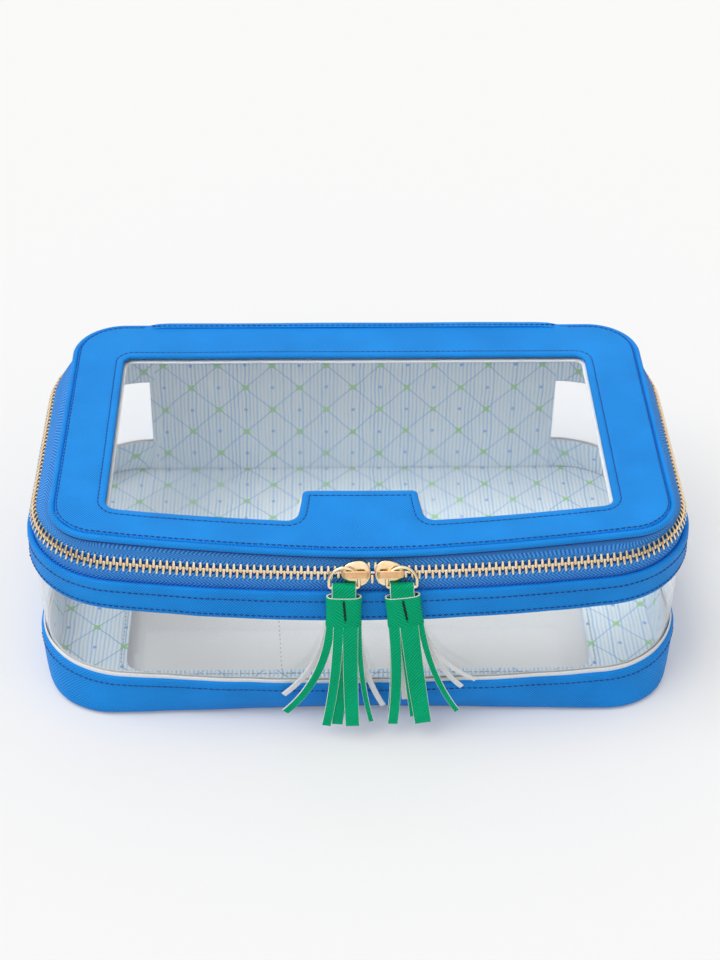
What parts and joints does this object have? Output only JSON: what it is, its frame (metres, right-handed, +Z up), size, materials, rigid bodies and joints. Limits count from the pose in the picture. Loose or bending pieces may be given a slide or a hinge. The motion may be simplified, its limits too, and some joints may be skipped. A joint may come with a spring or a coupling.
{
  "type": "game tile bag",
  "caption": "Soft zip case for game tiles: clear windows in lid, walls and floor, blue bands, a zip round front and sides with facing sliders, pull rings and fringed tassels",
  "frame": {"origin": "on the table under the middle of the outer box, tassels included", "axes": "+X to the right along the longest side, +Y from the zip pulls to the hinge, +Z up"},
  "size_m": [0.2598, 0.1756, 0.081],
  "materials": {
    "blue_leatherette": "fine embossed grain, low sheen",
    "clear_vinyl": "clear, glossy, slightly wavy",
    "pale_lining": "printed plain weave",
    "zip_tape": "herringbone weave",
    "gold_metal": "polished gold plate",
    "green_leatherette": "smooth, cream cut edges"
  },
  "bodies": {
    "base": {"floor_panel": "blue_leatherette", "floor_window": "clear_vinyl", "floor_lining": "pale_lining", "lower_band": "blue_leatherette", "band_lining": "pale_lining", "wall_window": "clear_vinyl", "upper_band": "blue_leatherette", "base_tape": "zip_tape", "base_teeth": "gold_metal", "back_panel": "blue_leatherette", "back_lining": "pale_lining", "hinge_strip": "blue_leatherette"},
    "lid": {"lid_panel": "blue_leatherette", "lid_window": "clear_vinyl", "lid_lining": "pale_lining", "lid_piping": "blue_leatherette", "lid_tape": "zip_tape", "lid_teeth": "gold_metal", "lid_flap": "blue_leatherette"},
    "slider_left": {"slider_left": "gold_metal"},
    "ring_left": {"pull_ring_left": "gold_metal"},
    "tassel_left": {"tassel_loop_left": "green_leatherette", "tassel_head_left": "green_leatherette", "tassel_fringe_left": "green_leatherette"},
    "slider_right": {"slider_right": "gold_metal"},
    "ring_right": {"pull_ring_right": "gold_metal"},
    "tassel_right": {"tassel_loop_right": "green_leatherette", "tassel_head_right": "green_leatherette", "tassel_fringe_right": "green_leatherette"}
  },
  "joints": [
    {"name": "lid_hinge", "type": "hinge", "parent": "base", "child": "lid", "pos_m": [0, 0.08798, 0.0705], "axis": [-1, 0, 0], "range_deg": [0, 180], "deforming": ["hinge_strip"]},
    {"name": "left_slider_run", "type": "hinge", "parent": "base", "child": "slider_left", "pos_m": [0, 0.60477, 0.0705], "axis": [0, 0, -1], "range_deg": [0, 7.32], "deforming": ["base_teeth", "lid_teeth"]},
    {"name": "left_ring_swing", "type": "hinge", "parent": "slider_left", "child": "ring_left", "pos_m": [-0.00687, -0.07457, 0.0705], "axis": [0.0034, 0.9877, -0.1564], "range_deg": [0, 45]},
    {"name": "left_tassel_lift", "type": "hinge", "parent": "ring_left", "child": "tassel_left", "pos_m": [-0.00687, -0.07504, 0.06754], "axis": [-1, 0.0034, 0], "range_deg": [0, 80]},
    {"name": "right_slider_run", "type": "hinge", "parent": "base", "child": "slider_right", "pos_m": [0, 0.60477, 0.0705], "axis": [0, 0, 1], "range_deg": [0, 6.64], "deforming": ["base_teeth", "lid_teeth"]},
    {"name": "right_ring_swing", "type": "hinge", "parent": "slider_right", "child": "ring_right", "pos_m": [0.01492, -0.07444, 0.0705], "axis": [0.0151, -0.9876, 0.1564], "range_deg": [0, 45]},
    {"name": "right_tassel_lift", "type": "hinge", "parent": "ring_right", "child": "tassel_right", "pos_m": [0.01493, -0.07491, 0.06754], "axis": [-0.9999, -0.0153, 0], "range_deg": [0, 80]}
  ]
}
